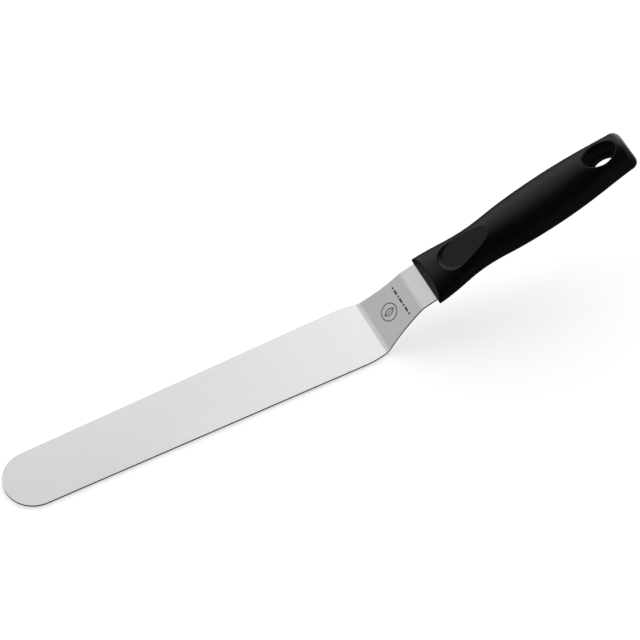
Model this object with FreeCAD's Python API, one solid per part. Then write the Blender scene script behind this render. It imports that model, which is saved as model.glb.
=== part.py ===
import FreeCAD, Part
import math
import os
from collections import namedtuple

# Offset spatula, in millimetres, +Z up.
# It lies on the flat underside of its blade. The origin is the middle of that underside, +X runs from the
# blade's round tip to the handle, and the XZ plane is the plane of symmetry.
# Two pieces: one bent steel sheet (blade, crank, neck and hidden tang) and the handle moulded over the tang.

Vector = FreeCAD.Vector
Station = namedtuple("Station", "along width above below")

# Sheet
sheet_thickness = 1.2
bend_radius = 4.5          # mid-sheet radius of both bends
blade_length = 200.0       # round tip to the line where the crank starts
blade_tip_width = 30.4     # width of the side lines at the tip, before it is rounded
blade_root_width = 35.4    # width of the side lines at the crank
crank_length = 27.5        # along the slope, from bend to bend
crank_angle = 40.4
handle_angle = 19.2        # slope of the neck, the tang and the handle
neck_width = 23.6
neck_length = 8.2          # from the upper bend to the handle's nose
shoulder_lead = 5.6        # the blade's sides turn inwards this far before the lower bend
neck_lead = 8.6            # the crank's sides turn parallel this far before the upper bend
shoulder_share = 0.43      # part of the narrowing that belongs to the blade's corner

# Tang, hidden in the handle
neck_insertion = 4.0       # the neck keeps its full width this far into the handle
tang_width = 15.0
tang_corner_radius = 3.0
tang_hole_radius = 3.0
tang_hole_count = 3
tang_to_hang_hole = 13.0   # plastic between the tang's end and the hanging hole

# Handle, in its own frame: along from the nose, above and below the tang's mid-plane
handle_length = 118.9
nose_side_wall = 2.6       # plastic beside the neck at the nose
nose_lip = 0.4             # plastic on the sheet's faces at the nose
nose_corner_radius = 1.6   # of the nose's corners seen from above
nose_corner_flare = 12.0   # how steeply the rounding runs out into the handle's sides
nose_lean = 32.0           # the bevels lean back this much from upright
hang_hole_length = 17.9
hang_hole_width = 11.6
hang_hole_end_radius = 4.2 # of its ends
hang_hole_rear_wall = 5.75
hang_hole_draft = 3.0
hang_ledge_width = 0.4     # step in the hole's wall
hang_ledge_drop = 0.4      # the step's depth under the tang's mid-plane
hang_mouth_radius = 0.6
rear_edge_radius = 4.2
rear_edge_steps = 5        # sections that shape the rounded rear edge
rear_lean = 6.0            # the rear end leans forward this much from square
nose_edge_radius = 0.4

# Thumb recess in the top of the handle
recess_start = 10.3
recess_width = 15.2        # across its round front end
recess_flare = 9.0         # its sides open by this angle towards the rear
recess_floor_height = 5.0  # above the tang's mid-plane at its front end
recess_floor_angle = 12.0
recess_cove_radius = 2.8
recess_length = 48.0       # past the line where its floor runs out of the handle's top

# Sections that the handle's skin passes through
section_power = 2.15       # 2 is an ellipse, more is squarer
section_points = 32
hang_hole_at = handle_length - hang_hole_rear_wall - hang_hole_length / 2
nose = Station(along=0.0, width=neck_width + 2 * nose_side_wall, above=6.2, below=4.4)
collar = Station(along=7.0, width=27.9, above=6.8, below=4.5)
cheek = Station(along=14.0, width=26.1, above=7.8, below=4.7)
waist = Station(along=27.0, width=22.7, above=10.0, below=5.0)
palm = Station(along=45.0, width=24.7, above=11.3, below=5.5)
belly = Station(along=72.0, width=26.9, above=11.9, below=6.0)
taper = Station(along=90.0, width=25.4, above=12.4, below=5.9)
hang = Station(along=hang_hole_at, width=22.8, above=12.4, below=5.5)
rear = Station(along=handle_length - rear_edge_radius, width=21.2, above=11.7, below=5.3)

MARGIN = 20.0              # how far cutting shapes reach past what they cut
TOUCH = 1e-6               # points closer than this are one point
CLOSE = 1e-3               # how exactly an edge's place is known


def cosine(degrees):
    return math.cos(math.radians(degrees))


def sine(degrees):
    return math.sin(math.radians(degrees))


def tangent(degrees):
    return math.tan(math.radians(degrees))


# Places in the row frame, worked out along the middle of the sheet
lower_bend = Vector(blade_length / 2, 0, sheet_thickness / 2)
upper_bend = lower_bend + Vector(cosine(crank_angle), 0, sine(crank_angle)) * crank_length
handle_axis = Vector(cosine(handle_angle), 0, sine(handle_angle))
nose_point = upper_bend + handle_axis * neck_length
tang_length = hang_hole_at - hang_hole_length / 2 - tang_to_hang_hole
handle_frame = FreeCAD.Placement(nose_point, FreeCAD.Rotation(Vector(0, 1, 0), -handle_angle))


def corner_arc(before, corner, after, radius):
    """Start, middle and end of the arc that rounds a corner between two straight runs."""
    back = (before - corner).normalize()
    ahead = (after - corner).normalize()
    half_angle = back.getAngle(ahead) / 2
    reach = radius / math.tan(half_angle)
    bisector = (back + ahead).normalize()
    middle = corner + bisector * (radius / math.sin(half_angle) - radius)
    return corner + back * reach, middle, corner + ahead * reach


def rounded_wire(corners):
    """Closed wire through (point, radius) corners; a radius of zero leaves a corner sharp."""
    count = len(corners)
    turns = []
    for index, (point, radius) in enumerate(corners):
        if radius > 0:
            before = corners[index - 1][0]
            after = corners[(index + 1) % count][0]
            turns.append(corner_arc(before, point, after, radius))
        else:
            turns.append((point, None, point))
    edges = []
    for index, (start, middle, end) in enumerate(turns):
        if middle:
            edges.append(Part.Arc(start, middle, end).toShape())
        next_start = turns[(index + 1) % count][0]
        if end.distanceToPoint(next_start) > TOUCH:
            edges.append(Part.LineSegment(end, next_start).toShape())
    return Part.Wire(edges)


def mirrored_outline(half):
    """Closed XY wire from the (x, y, radius) corners of its +Y half, listed from -X to +X."""
    far_side = [(Vector(x, y, 0), radius) for x, y, radius in half]
    near_side = [(Vector(x, -y, 0), radius) for x, y, radius in reversed(half)]
    return rounded_wire(far_side + near_side)


def full_round_radius(half_width, flare):
    """Radius that rounds the whole end of a strip whose sides open by the angle flare."""
    return half_width * tangent((90 + flare) / 2)


def prism(wire, direction):
    return Part.Face(wire).extrude(direction)


def sheet_profile(offset):
    """Corners of the side view of the sheet, at a distance above its mid-plane."""
    start = Vector(-blade_length / 2 - MARGIN, 0, lower_bend.z)
    end = nose_point + handle_axis * (tang_length + MARGIN)
    slopes = (0.0, crank_angle, handle_angle)
    normals = [Vector(-sine(slope), 0, cosine(slope)) for slope in slopes]
    corners = [start + normals[0] * offset]
    for place, first, second in ((lower_bend, 0, 1), (upper_bend, 1, 2)):
        half_turn = (slopes[second] - slopes[first]) / 2
        middle = (normals[first] + normals[second]).normalize()
        corners.append(place + middle * (offset / cosine(half_turn)))
    corners.append(end + normals[2] * offset)
    return corners


def bent_strip():
    """The sheet as a bent strip, wider and longer than the blade that is cut from it."""
    half = sheet_thickness / 2
    top = sheet_profile(half)
    bottom = sheet_profile(-half)
    # the lower bend turns up, so its inside is on top; the upper bend turns down
    top_radii = (0, bend_radius - half, bend_radius + half, 0)
    bottom_radii = (0, bend_radius + half, bend_radius - half, 0)
    corners = list(zip(bottom, bottom_radii)) + list(zip(reversed(top), reversed(top_radii)))
    strip_width = blade_root_width + MARGIN
    strip = prism(rounded_wire(corners), Vector(0, strip_width, 0))
    strip.translate(Vector(0, -strip_width / 2, 0))
    return strip


def plan_outline():
    """The blade's outline seen from above, from the round tip to the end of the tang."""
    tip_x = -blade_length / 2
    flare = math.degrees(math.atan((blade_root_width - blade_tip_width) / 2 / blade_length))
    shoulder_x = lower_bend.x - shoulder_lead
    shoulder_y = blade_root_width / 2 - shoulder_lead * tangent(flare)
    neck_x = upper_bend.x - neck_lead
    neck_y = neck_width / 2
    slope = math.degrees(math.atan2(shoulder_y - neck_y, neck_x - shoulder_x))
    run = math.hypot(shoulder_y - neck_y, neck_x - shoulder_x)
    shoulder_radius = run * shoulder_share / tangent((slope + flare) / 2)
    neck_radius = run * (1 - shoulder_share) / tangent(slope / 2)
    step_x = nose_point.x + neck_insertion * handle_axis.x
    end_x = nose_point.x + tang_length * handle_axis.x
    return mirrored_outline((
        (tip_x, blade_tip_width / 2, full_round_radius(blade_tip_width / 2, flare)),
        (shoulder_x, shoulder_y, shoulder_radius),
        (neck_x, neck_y, neck_radius),
        (step_x, neck_y, tang_corner_radius / 2),
        (step_x, tang_width / 2, tang_corner_radius / 2),
        (end_x, tang_width / 2, tang_corner_radius),
    ))


def tang_holes():
    """Round holes, evenly spaced along the tang, that the handle's plastic runs through."""
    first = neck_insertion + tang_width / 2
    last = tang_length - tang_width / 2
    pitch = (last - first) / (tang_hole_count - 1)
    depth = sheet_thickness + 2 * bend_radius
    holes = []
    for index in range(tang_hole_count):
        base = Vector(first + index * pitch, 0, -depth / 2)
        hole = Part.makeCylinder(tang_hole_radius, depth, base)
        hole.Placement = handle_frame.multiply(hole.Placement)
        holes.append(hole)
    return holes


def make_blade():
    """One sheet: spreading blade, crank, neck and tang."""
    height = (nose_point + handle_axis * handle_length).z + MARGIN
    outline = plan_outline()
    outline.translate(Vector(0, 0, -MARGIN))
    blank = prism(outline, Vector(0, 0, height + 2 * MARGIN))
    return bent_strip().common(blank).cut(tang_holes())


def handle_section(station, inset=0.0, lean=0.0):
    """Closed section across the handle: a tall half above the tang's plane and a flatter one below."""
    points = []
    for index in range(section_points):
        angle = 2 * math.pi * index / section_points
        side = math.copysign(abs(math.cos(angle)) ** (2 / section_power), math.cos(angle))
        rise = math.copysign(abs(math.sin(angle)) ** (2 / section_power), math.sin(angle))
        height = station.above if rise > 0 else station.below
        points.append(Vector(station.along, side * (station.width / 2 - inset), rise * (height - inset)))
    curve = Part.BSplineCurve()
    curve.interpolate(Points=points, PeriodicFlag=True)
    section = Part.Wire(curve.toShape())
    section.rotate(Vector(station.along, 0, 0), Vector(0, 1, 0), -lean)
    return section


def rear_cap():
    """The last stretch of the grip, whose edge is rounded all the way round."""
    sections = []
    for step in range(rear_edge_steps + 1):
        angle = 90 * step / rear_edge_steps
        along = rear.along + rear_edge_radius * sine(angle)
        inset = rear_edge_radius * (1 - cosine(angle))
        sections.append(handle_section(rear._replace(along=along), inset, rear_lean))
    return Part.makeLoft(sections, True, False)


def handle_skin():
    """The grip's outer shape, before its bevels, recess and hole are cut."""
    stations = (nose, collar, cheek, waist, palm, belly, taper, hang)
    sections = [handle_section(station) for station in stations]
    sections.append(handle_section(rear, lean=rear_lean))
    skin = Part.makeLoft(sections, True, False)
    return skin.fuse(rear_cap())


def nose_block():
    """A block round the whole handle whose front corners are rounded."""
    corner_y = nose.width / 2
    outline = mirrored_outline((
        (0, corner_y, nose_corner_radius),
        (handle_length + MARGIN, corner_y + (handle_length + MARGIN) * tangent(nose_corner_flare), 0),
    ))
    outline.translate(Vector(0, 0, -MARGIN))
    return prism(outline, Vector(0, 0, 2 * MARGIN))


def nose_bevel(side, height):
    """What is cut off above (side 1) or below (side -1) the sheet to leave the nose's bevel."""
    lip = sheet_thickness / 2 + nose_lip
    rise = height + MARGIN
    corners = [Vector(-MARGIN, -MARGIN, side * lip), Vector(0, -MARGIN, side * lip)]
    corners.append(Vector(rise * tangent(nose_lean), -MARGIN, side * (lip + rise)))
    corners.append(Vector(-MARGIN, -MARGIN, side * (lip + rise)))
    wire = Part.makePolygon(corners + corners[:1])
    return prism(wire, Vector(0, 2 * MARGIN, 0))


def thumb_recess():
    """Tongue-shaped cutter with a flat sloping floor and a coved round front."""
    half_width = recess_width / 2
    rear_half_width = half_width + recess_length * tangent(recess_flare)
    outline = mirrored_outline((
        (0, half_width, full_round_radius(half_width, recess_flare)),
        (recess_length, rear_half_width, 0),
    ))
    cutter = prism(outline, Vector(0, 0, MARGIN))
    floor_edges = [edge for edge in cutter.Edges if edge.BoundBox.ZMax < CLOSE]
    cutter = cutter.makeFillet(recess_cove_radius, floor_edges)
    tilt = FreeCAD.Rotation(Vector(0, 1, 0), -recess_floor_angle)
    cutter.Placement = FreeCAD.Placement(Vector(recess_start, 0, recess_floor_height), tilt)
    return cutter


def oval_wire(inset, height):
    """Oval of four tangent arcs round the hanging hole, inside its mouth by the inset."""
    half_length = hang_hole_length / 2
    half_width = hang_hole_width / 2
    end_centre = half_length - hang_hole_end_radius
    side_radius = (end_centre ** 2 + half_width ** 2 - hang_hole_end_radius ** 2) / (
        2 * (half_width - hang_hole_end_radius)
    )
    side_centre = Vector(0, half_width - side_radius, 0)
    outwards = (Vector(end_centre, 0, 0) - side_centre).normalize()
    joint = side_centre + outwards * (side_radius - inset)
    far = half_length - inset
    wide = half_width - inset
    x, y = joint.x, joint.y
    places = [(-x, y), (0, wide), (x, y), (far, 0), (x, -y), (0, -wide), (-x, -y), (-far, 0), (-x, y)]
    points = [Vector(hang_hole_at + along, across, height) for along, across in places]
    return Part.Wire([Part.Arc(*points[first:first + 3]).toShape() for first in (0, 2, 4, 6)])


def hanging_hole():
    """Oval hole through the handle: a drafted upper part, a ledge and a narrower lower part."""
    top = hang.above
    draft = tangent(hang_hole_draft)
    inset = (top + hang_ledge_drop) * draft
    ledge = oval_wire(inset, -hang_ledge_drop)
    mouth = oval_wire(-MARGIN * draft, top + MARGIN)
    upper = Part.makeLoft([ledge, mouth], True, True)
    depth = hang.below + MARGIN
    lower = prism(oval_wire(inset + hang_ledge_width, -depth), Vector(0, 0, depth - hang_ledge_drop))
    return upper.fuse(lower)


def round_edges(solid, radius, chosen):
    """Fillet the edges whose bounding box passes the test."""
    return solid.makeFillet(radius, [edge for edge in solid.Edges if chosen(edge.BoundBox)]).Solids[0]


def is_hole_mouth(box):
    beside_hole = abs(box.Center.x - hang_hole_at) < hang_hole_length / 2 and box.XLength < hang_hole_length
    return beside_hole and (box.ZMin > 0 or box.ZMax < -hang_ledge_drop - CLOSE)


def is_bevel_rim(box):
    return box.XMax < cheek.along and box.YLength > neck_width and box.ZLength > sheet_thickness


def make_handle(blade):
    """Moulded handle: the skin less its bevels, recess and hole, and less the tang it is moulded over."""
    handle = handle_skin().common(nose_block())
    handle = handle.cut([nose_bevel(1, nose.above), nose_bevel(-1, nose.below)])
    handle = handle.cut(hanging_hole())
    handle = handle.cut(thumb_recess()).Solids[0]
    handle = round_edges(handle, hang_mouth_radius, is_hole_mouth)
    handle = round_edges(handle, nose_edge_radius, is_bevel_rim)
    handle.Placement = handle_frame
    return handle.cut(blade)


def main():
    os.makedirs("parts", exist_ok=True)
    blade = make_blade()
    handle = make_handle(blade)
    blade.exportStep("parts/blade.step")
    handle.exportStep("parts/handle.step")


main()
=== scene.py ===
import math

import bpy
from mathutils import Matrix, Vector


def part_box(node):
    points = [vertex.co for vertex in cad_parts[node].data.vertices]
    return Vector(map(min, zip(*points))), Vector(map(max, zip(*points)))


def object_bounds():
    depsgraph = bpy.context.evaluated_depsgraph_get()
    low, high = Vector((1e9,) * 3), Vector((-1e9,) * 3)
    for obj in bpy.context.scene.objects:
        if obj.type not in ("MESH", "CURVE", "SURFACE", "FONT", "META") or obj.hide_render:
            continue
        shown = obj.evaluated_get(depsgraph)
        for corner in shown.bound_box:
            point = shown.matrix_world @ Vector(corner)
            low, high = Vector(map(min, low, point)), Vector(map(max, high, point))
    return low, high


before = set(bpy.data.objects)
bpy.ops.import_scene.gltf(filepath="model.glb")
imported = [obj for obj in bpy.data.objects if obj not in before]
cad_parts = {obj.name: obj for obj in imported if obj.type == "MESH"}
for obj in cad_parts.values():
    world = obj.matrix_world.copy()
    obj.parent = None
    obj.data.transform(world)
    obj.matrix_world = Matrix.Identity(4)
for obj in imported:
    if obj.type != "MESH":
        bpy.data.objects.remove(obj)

# Offset spatula: its two CAD pieces get their materials, and a plain studio is set round them.
# Lengths are in metres and angles in degrees. Brightness is in world units, and tones are shares of white.

# Camera: a long lens that looks down on the tool from its near side
CAMERA_AZIMUTH = -27.95
CAMERA_ELEVATION = 56.08
CAMERA_DISTANCE = 1.632
CAMERA_LENS = 185.9
SENSOR_WIDTH = 36.0
AIM_ALONG = 0.0791
AIM_ACROSS = 0.01695

# Floor: a lit white table, a hair's breadth under the blade
FLOOR_SIZE = 12.0
FLOOR_DROP = 0.0002
FLOOR_SHADE = 0.9
FLOOR_GLOW = 0.62
FLOOR_SHADE_SPREAD = 0.01
FLOOR_CLOUD_SCALE = 3.0
FLOOR_ROUGHNESS = 0.9
FLOOR_SPECULAR = 0.1

# Soft light, by direction: a bright wall beyond the tool, a lamp above the horizon and one below it at the
# right, plain sides, and a dark side behind the camera. A span is in a ray's share of right, far or up.
WALL_BRIGHTNESS = 1.58
WALL_FAR_SPAN = (0.0, 0.95)
WALL_UP_SPAN = (-0.35, 0.45)
WALL_LEFT_SPAN = (-0.9, -0.35)
WALL_RIGHT_SPAN = (-0.25, 0.15)
WALL_LEFT_SHARE = 0.74
WALL_RIGHT_SHARE = 0.88
LAMP_BRIGHTNESS = 1.6
LAMP_TOWARDS = (130.0, 38.0)
LAMP_RADIUS = (12.0, 25.0)
LOW_LAMP_BRIGHTNESS = 1.6
LOW_LAMP_TOWARDS = (128.0, -20.0)
LOW_LAMP_RADIUS = (12.0, 31.0)
SIDE_BRIGHTNESS = 0.5
CAMERA_SIDE_BRIGHTNESS = 0.02
CAMERA_SIDE_TOWARDS = (-31.0, 52.0)
CAMERA_SIDE_RADIUS = (46.0, 75.0)
BELOW_SHARE = 0.1
HORIZON_SPAN = (-0.1, 0.05)

# Mark etched on the crank: a leaf in a ring and a row of dashes and dots, placed along the crank's slope
CRANK_ANGLE = 40.4
RING_AT = 0.0122
RING_RADIUS = 0.0045
RING_LINE = 0.0005
LEAF_LENGTH = 0.0064
LEAF_WIDTH = 0.0034
ROW_AT = 0.0206
ROW_HALF_LENGTH = 0.0088
ROW_PITCH = 0.0056
ROW_DASH = (0.0010, 0.00055)
ROW_DOT = 0.00058
MARK_EDGE = 0.00006
MARK_LEVEL = 0.0004
MARK_TONE = 0.13
MARK_ROUGHNESS = 0.6

# Noise of the materials: the part of its range that counts
NOISE_SPAN = (0.3, 0.7)
NOISE_PEAKS = (0.55, 0.75)

# Steel: scales are per metre along X, Y and Z, so its grain and hairs run along the blade
GRAIN_SCALE = (18.0, 2600.0, 18.0)
GRAIN_DETAIL = 3.0
GRAIN_FALL = 0.6
GRAIN_HEIGHT = 0.3
HAIR_SCALE = (45.0, 7000.0, 45.0)
HAIR_FALL = 0.7
HAIR_HEIGHT = 0.2
STEEL_CLOUD_SCALE = 14.0
STEEL_TONES = (0.73, 0.79)
STEEL_TONE_SHARE = 0.5
SATIN_ROUGHNESS = (0.30, 0.38)
HAIR_ROUGHNESS = 0.06
STEEL_RELIEF = 0.00001

# Plastic: a fine moulded texture on slow waves
TEXTURE_SCALE = 3200.0
TEXTURE_FALL = 0.6
TEXTURE_RELIEF = 0.000012
TEXTURE_STRENGTH = 0.8
TEXTURE_ROUGHNESS = 0.02
WAVE_SCALE = 260.0
WAVE_RELIEF = 0.00002
WAVE_STRENGTH = 0.4
PLASTIC_CLOUD_SCALE = 60.0
PLASTIC_CLOUD_DETAIL = 3.0
PLASTIC_TONES = (0.0025, 0.0045)
PLASTIC_ROUGHNESS = (0.34, 0.40)
PLASTIC_SPECULAR = 0.27

cad_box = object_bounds()
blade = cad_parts["blade"]
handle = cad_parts["handle"]


# ---------------------------------------------------------------- node materials

class Nodes:
    """Short names for building one node tree."""

    def __init__(self, tree):
        self.tree = tree
        self.shader = tree.nodes.get("Principled BSDF")

    def add(self, kind, **settings):
        node = self.tree.nodes.new(kind)
        for key, value in settings.items():
            setattr(node, key, value)
        return node

    def put(self, target, value):
        """Links an output to a socket, or sets the socket's own value."""
        if isinstance(value, bpy.types.NodeSocket):
            self.tree.links.new(value, target)
        else:
            target.default_value = value

    def maths(self, operation, *values):
        node = self.add("ShaderNodeMath", operation=operation)
        for socket, value in zip(node.inputs, values):
            self.put(socket, value)
        return node.outputs[0]

    def place(self):
        """Position in the shared frame: the nodes sit at the origin, so it is their object coordinates."""
        return self.add("ShaderNodeTexCoord").outputs["Object"]

    def split(self, vector):
        node = self.add("ShaderNodeSeparateXYZ")
        self.put(node.inputs[0], vector)
        return node.outputs

    def stretched(self, vector, scale):
        node = self.add("ShaderNodeMapping")
        self.put(node.inputs["Vector"], vector)
        node.inputs["Scale"].default_value = scale
        return node.outputs[0]

    def noise(self, vector, scale, detail=2.0, roughness=0.5):
        node = self.add("ShaderNodeTexNoise")
        self.put(node.inputs["Vector"], vector)
        node.inputs["Scale"].default_value = scale
        node.inputs["Detail"].default_value = detail
        node.inputs["Roughness"].default_value = roughness
        return node.outputs["Fac"]

    def span(self, value, low, high, new_low, new_high, smooth=False):
        node = self.add("ShaderNodeMapRange", interpolation_type="SMOOTHSTEP" if smooth else "LINEAR")
        for socket, number in zip(node.inputs, (value, low, high, new_low, new_high)):
            self.put(socket, number)
        return node.outputs[0]

    def blend(self, share, first, second):
        node = self.add("ShaderNodeMix", data_type="RGBA")
        self.put(node.inputs["Factor"], share)
        colours = [socket for socket in node.inputs if socket.type == "RGBA"]
        self.put(colours[0], first)
        self.put(colours[1], second)
        return [socket for socket in node.outputs if socket.type == "RGBA"][0]

    def bump(self, height, distance, strength=1.0, normal=None):
        node = self.add("ShaderNodeBump")
        self.put(node.inputs["Height"], height)
        node.inputs["Distance"].default_value = distance
        node.inputs["Strength"].default_value = strength
        if normal:
            self.put(node.inputs["Normal"], normal)
        return node.outputs[0]


def grey(value):
    return (value, value, value, 1.0)


def new_material(name):
    material = bpy.data.materials.new(name)
    material.use_nodes = True
    return material, Nodes(material.node_tree)


def filled(n, distance, radius):
    """One inside a shape, none outside it, from the distance to its middle line."""
    return n.span(distance, radius - MARK_EDGE, radius + MARK_EDGE, 1.0, 0.0)


def length_of(n, *parts):
    """Root of the sum of squares."""
    total = 0.0
    for part in parts:
        total = n.maths("MULTIPLY_ADD", part, part, total)
    return n.maths("SQRT", total)


def leaf(n, along, beside):
    """A pointed leaf, drawn in outline with its middle vein: two arcs that meet at its tips."""
    half_length = LEAF_LENGTH / 2
    half_width = LEAF_WIDTH / 2
    arc_radius = (half_length ** 2 + half_width ** 2) / (2 * half_width)
    from_centre = length_of(n, along, n.maths("ADD", beside, arc_radius - half_width))
    inside = n.maths("SUBTRACT", arc_radius, from_centre)
    outline = filled(n, n.maths("ABSOLUTE", n.maths("SUBTRACT", inside, RING_LINE / 2)), RING_LINE / 2)
    within_tips = filled(n, n.maths("ABSOLUTE", along), half_length)
    vein = n.maths("MULTIPLY", filled(n, beside, RING_LINE / 3), within_tips)
    return n.maths("MAXIMUM", outline, vein)


def dash_row(n, along, across):
    """Dashes with a dot between each two."""
    half_length, half_width = ROW_DASH
    shifted = n.maths("ADD", across, ROW_PITCH / 2)
    step = n.maths("SUBTRACT", n.maths("FLOORED_MODULO", shifted, ROW_PITCH), ROW_PITCH / 2)
    rest = n.maths("MAXIMUM", n.maths("SUBTRACT", n.maths("ABSOLUTE", step), half_length), 0.0)
    dashes = filled(n, length_of(n, rest, along), half_width)
    gap = n.maths("SUBTRACT", ROW_PITCH / 2, n.maths("ABSOLUTE", step))
    dots = filled(n, length_of(n, gap, along), ROW_DOT)
    row = n.maths("MAXIMUM", dashes, dots)
    return n.maths("MULTIPLY", row, filled(n, n.maths("ABSOLUTE", across), ROW_HALF_LENGTH + half_length))


def weighted(n, operation, first, first_share, second, second_share):
    """Adds or subtracts two values, each with its own share."""
    first_part = n.maths("MULTIPLY", first, first_share)
    second_part = n.maths("MULTIPLY", second, second_share)
    return n.maths(operation, first_part, second_part)


def etched_mark(n, place):
    """One where the crank's upper face is etched. The bend is as far from the origin as the tip is."""
    x, y, z = n.split(place)
    turn = math.radians(CRANK_ANGLE)
    bend = -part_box("blade")[0][0]
    run = n.maths("SUBTRACT", x, bend)
    slope = weighted(n, "ADD", run, math.cos(turn), z, math.sin(turn))
    upwards = weighted(n, "SUBTRACT", z, math.cos(turn), run, math.sin(turn))
    beside = n.maths("ABSOLUTE", y)
    from_ring = n.maths("SUBTRACT", slope, RING_AT)
    ring = n.maths("ABSOLUTE", n.maths("SUBTRACT", length_of(n, from_ring, y), RING_RADIUS))
    mark = n.maths("MAXIMUM", filled(n, ring, RING_LINE / 2), leaf(n, from_ring, beside))
    mark = n.maths("MAXIMUM", mark, dash_row(n, n.maths("SUBTRACT", slope, ROW_AT), y))
    return n.maths("MULTIPLY", mark, n.maths("GREATER_THAN", upwards, MARK_LEVEL))


def steel():
    """Satin stainless steel with a fine grain along the blade and an etched mark on the crank."""
    material, n = new_material("brushed_steel")
    place = n.place()
    grain = n.noise(n.stretched(place, GRAIN_SCALE), 1.0, GRAIN_DETAIL, GRAIN_FALL)
    hairs = n.noise(n.stretched(place, HAIR_SCALE), 1.0, roughness=HAIR_FALL)
    cloud = n.noise(place, STEEL_CLOUD_SCALE)
    etched = etched_mark(n, place)
    tone = weighted(n, "ADD", grain, STEEL_TONE_SHARE, cloud, 1.0 - STEEL_TONE_SHARE)
    clean = n.blend(n.span(tone, *NOISE_SPAN, 0.0, 1.0), *map(grey, STEEL_TONES))
    n.put(n.shader.inputs["Base Color"], n.blend(etched, clean, grey(MARK_TONE)))
    n.shader.inputs["Metallic"].default_value = 1.0
    hair_gloss = n.span(hairs, *NOISE_PEAKS, 0.0, HAIR_ROUGHNESS)
    satin = n.maths("ADD", n.span(grain, *NOISE_SPAN, *SATIN_ROUGHNESS), hair_gloss)
    etched_roughness = n.maths("MULTIPLY", etched, MARK_ROUGHNESS)
    n.put(n.shader.inputs["Roughness"], n.maths("MAXIMUM", satin, etched_roughness))
    relief = weighted(n, "ADD", grain, GRAIN_HEIGHT, hairs, HAIR_HEIGHT)
    n.put(n.shader.inputs["Normal"], n.bump(n.maths("SUBTRACT", relief, etched), STEEL_RELIEF))
    return material


def plastic():
    """Black moulded plastic with a soft sheen and a very fine moulded texture."""
    material, n = new_material("moulded_black_plastic")
    place = n.place()
    texture = n.noise(place, TEXTURE_SCALE, roughness=TEXTURE_FALL)
    waves = n.noise(place, WAVE_SCALE)
    cloud = n.noise(place, PLASTIC_CLOUD_SCALE, PLASTIC_CLOUD_DETAIL)
    clouded = n.span(cloud, *NOISE_SPAN, 0.0, 1.0)
    n.put(n.shader.inputs["Base Color"], n.blend(clouded, *map(grey, PLASTIC_TONES)))
    fine = n.span(texture, *NOISE_SPAN, -TEXTURE_ROUGHNESS, TEXTURE_ROUGHNESS)
    handled = n.maths("ADD", n.span(cloud, *NOISE_SPAN, *PLASTIC_ROUGHNESS), fine)
    n.put(n.shader.inputs["Roughness"], handled)
    n.shader.inputs["Specular IOR Level"].default_value = PLASTIC_SPECULAR
    soft = n.bump(waves, WAVE_RELIEF, WAVE_STRENGTH)
    n.put(n.shader.inputs["Normal"], n.bump(texture, TEXTURE_RELIEF, TEXTURE_STRENGTH, soft))
    return material


def table_white():
    """White table top that glows a little."""
    material, n = new_material("white_table")
    cloud = n.noise(n.place(), FLOOR_CLOUD_SCALE)
    lighter = FLOOR_SHADE + FLOOR_SHADE_SPREAD
    n.put(n.shader.inputs["Base Color"], n.blend(cloud, grey(FLOOR_SHADE), grey(lighter)))
    n.shader.inputs["Roughness"].default_value = FLOOR_ROUGHNESS
    n.shader.inputs["Specular IOR Level"].default_value = FLOOR_SPECULAR
    n.shader.inputs["Emission Color"].default_value = grey(1.0)
    n.shader.inputs["Emission Strength"].default_value = FLOOR_GLOW
    return material


# ---------------------------------------------------------------- the two pieces

def dress(node, material):
    for slot in node.material_slots:
        slot.material = material


def dress_object():
    dress(blade, steel())
    dress(handle, plastic())


# ---------------------------------------------------------------- studio

def direction(azimuth, elevation):
    """Unit vector towards a place at that azimuth and elevation: azimuth 0 is the near side, -Y."""
    turn = math.radians(azimuth)
    rise = math.radians(elevation)
    return Vector((math.sin(turn) * math.cos(rise), -math.cos(turn) * math.cos(rise), math.sin(rise)))


def looking(place, target):
    """Rotation that points an object's -Z axis at the target, with its X axis level."""
    return (target - place).to_track_quat("-Z", "Y").to_matrix().to_4x4()


def make_camera():
    data = bpy.data.cameras.new("camera")
    data.lens = CAMERA_LENS
    data.sensor_width = SENSOR_WIDTH
    camera = bpy.data.objects.new("camera", data)
    bpy.context.scene.collection.objects.link(camera)
    target = Vector((AIM_ALONG, AIM_ACROSS, 0.0))
    place = target + direction(CAMERA_AZIMUTH, CAMERA_ELEVATION) * CAMERA_DISTANCE
    camera.matrix_world = Matrix.Translation(place) @ looking(place, target)
    bpy.context.scene.camera = camera


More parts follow.
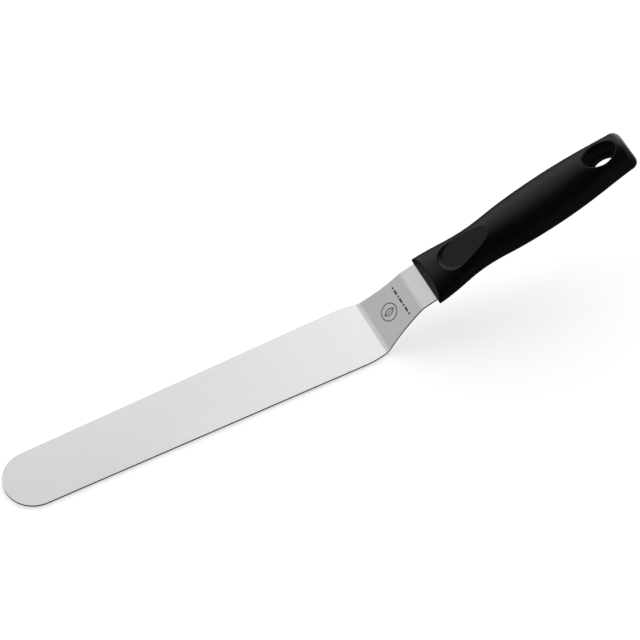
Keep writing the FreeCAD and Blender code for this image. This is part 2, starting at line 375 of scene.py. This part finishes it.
def spot(n, towards, ray, radius, level):
    """A round patch of light in the surroundings: full within the first radius, none past the second."""
    node = n.add("ShaderNodeVectorMath", operation="DOT_PRODUCT")
    n.put(node.inputs[0], ray)
    node.inputs[1].default_value = direction(*towards)
    inner, outer = (math.cos(math.radians(angle)) for angle in radius)
    return n.span(node.outputs["Value"], outer, inner, 0.0, level, smooth=True)


def make_surroundings():
    """The studio round the tool: only how bright it is in each direction counts."""
    world = bpy.data.worlds.new("studio")
    world.use_nodes = True
    n = Nodes(world.node_tree)
    ray = n.add("ShaderNodeTexCoord").outputs["Generated"]
    right, far, up = n.split(ray)
    wall = n.span(far, *WALL_FAR_SPAN, 0.0, WALL_BRIGHTNESS)
    wall = n.maths("MULTIPLY", wall, n.span(up, *WALL_UP_SPAN, 0.0, 1.0))
    wall = n.maths("MULTIPLY", wall, n.span(right, *WALL_LEFT_SPAN, WALL_LEFT_SHARE, 1.0))
    wall = n.maths("MULTIPLY", wall, n.span(right, *WALL_RIGHT_SPAN, 1.0, WALL_RIGHT_SHARE))
    lamp = spot(n, LAMP_TOWARDS, ray, LAMP_RADIUS, LAMP_BRIGHTNESS)
    low_lamp = spot(n, LOW_LAMP_TOWARDS, ray, LOW_LAMP_RADIUS, LOW_LAMP_BRIGHTNESS)
    dark = spot(n, CAMERA_SIDE_TOWARDS, ray, CAMERA_SIDE_RADIUS, SIDE_BRIGHTNESS - CAMERA_SIDE_BRIGHTNESS)
    level = n.maths("SUBTRACT", SIDE_BRIGHTNESS, dark)
    sides = n.maths("MULTIPLY", level, n.span(up, *HORIZON_SPAN, BELOW_SHARE, 1.0))
    total = n.maths("ADD", n.maths("ADD", n.maths("MAXIMUM", wall, sides), lamp), low_lamp)
    background = world.node_tree.nodes["Background"]
    n.put(background.inputs["Strength"], total)
    background.inputs["Color"].default_value = grey(1.0)
    bpy.context.scene.world = world


def make_floor():
    bpy.ops.mesh.primitive_grid_add(x_subdivisions=4, y_subdivisions=4, size=FLOOR_SIZE)
    floor = bpy.context.object
    floor.name = "floor"
    floor.location = (0.0, 0.0, cad_box[0][2] - FLOOR_DROP)
    floor.data.materials.append(table_white())
    floor.visible_glossy = False


dress_object()
make_camera()
make_surroundings()
make_floor()
bpy.context.scene.view_settings.view_transform = "Standard"
